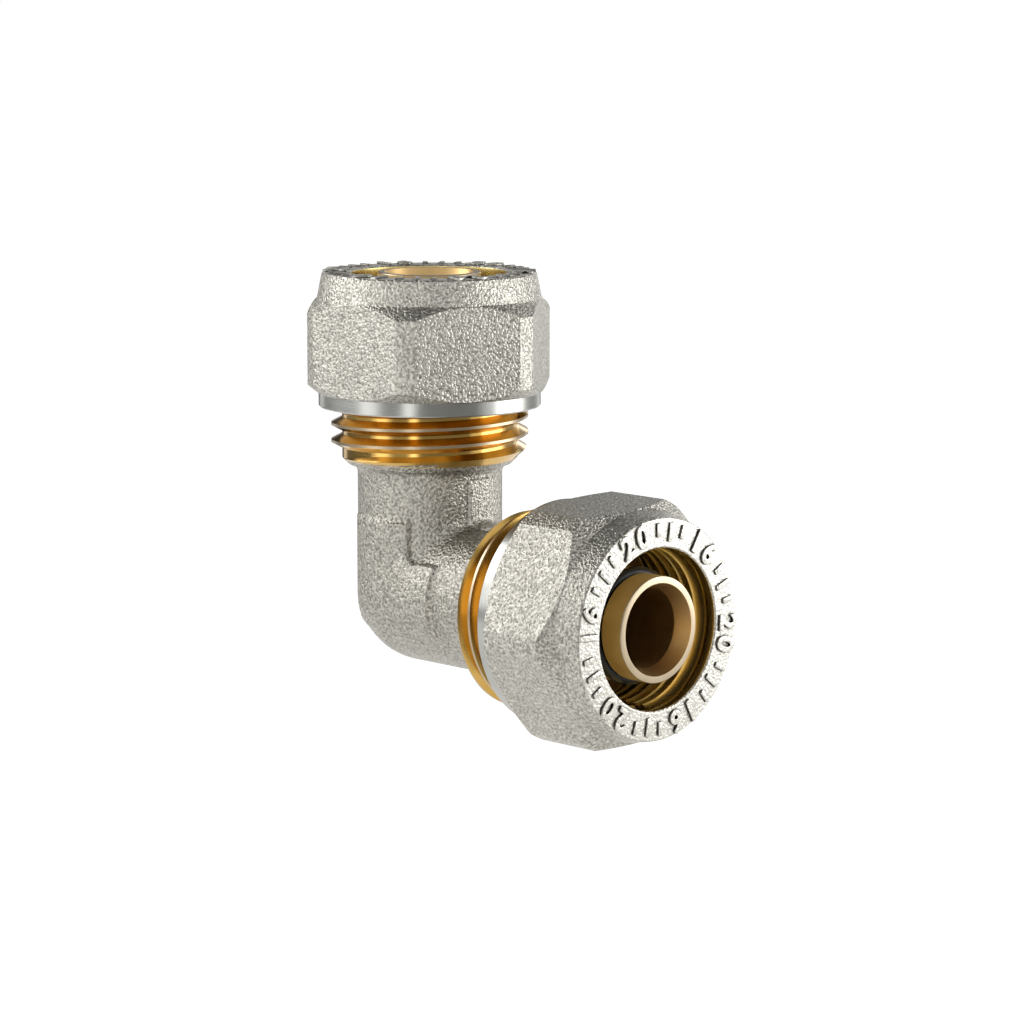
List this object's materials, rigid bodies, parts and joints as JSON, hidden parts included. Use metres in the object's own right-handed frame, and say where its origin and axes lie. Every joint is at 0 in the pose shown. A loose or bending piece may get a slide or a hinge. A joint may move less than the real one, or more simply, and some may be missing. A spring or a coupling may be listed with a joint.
{
  "type": "compression pipe elbow",
  "caption": "Right-angle compression elbow: forged body, threaded arms with O-ring nipples, split rings and hexagon nuts for plastic-metal composite pipe.",
  "frame": {"origin": "the point where the axes of the two arms cross", "axes": "+Z along the upright arm's axis, out of its mouth; +X along the side arm's axis, out of its mouth; -Y is the side with the raised cheek panel"},
  "size_m": [0.0473, 0.0266, 0.0464],
  "materials": {
    "nickel_body": "nickel plated over blasted forged brass, with bare turned brass threads and nipples",
    "nickel_nut": "nickel plated brass, satin",
    "ring_brass": "turned bare brass",
    "seal_rubber": "black moulded rubber, slightly shiny",
    "washer_plastic": "white sheet plastic"
  },
  "bodies": {
    "elbow": {"elbow_body": "nickel_body", "upright_front_o_ring": "seal_rubber", "upright_rear_o_ring": "seal_rubber", "side_front_o_ring": "seal_rubber", "side_rear_o_ring": "seal_rubber", "upright_insulating_washer": "washer_plastic", "side_insulating_washer": "washer_plastic"},
    "upright_ring": {"upright_split_ring": "ring_brass"},
    "upright_nut": {"upright_nut": "nickel_nut"},
    "side_ring": {"side_split_ring": "ring_brass"},
    "side_nut": {"side_nut": "nickel_nut"}
  },
  "joints": [
    {"name": "upright_ring_travel", "type": "slide", "parent": "elbow", "child": "upright_ring", "axis": [0, 0, 1], "range_m": [-0.00181, 0.00363]},
    {"name": "upright_nut_turn", "type": "hinge", "parent": "upright_ring", "child": "upright_nut", "pos_m": [0, 0, 0], "axis": [0, 0, 1], "range_deg": [-360, 720]},
    {"name": "side_ring_travel", "type": "slide", "parent": "elbow", "child": "side_ring", "axis": [1, 0, 0], "range_m": [-0.00181, 0.00363]},
    {"name": "side_nut_turn", "type": "hinge", "parent": "side_ring", "child": "side_nut", "pos_m": [0, 0, 0], "axis": [1, 0, 0], "range_deg": [-360, 720]}
  ],
  "couplings": [
    {"joint": "upright_nut_turn", "follows": "upright_ring_travel", "rad_per_m": 3463.7},
    {"joint": "side_nut_turn", "follows": "side_ring_travel", "rad_per_m": 3463.7}
  ]
}
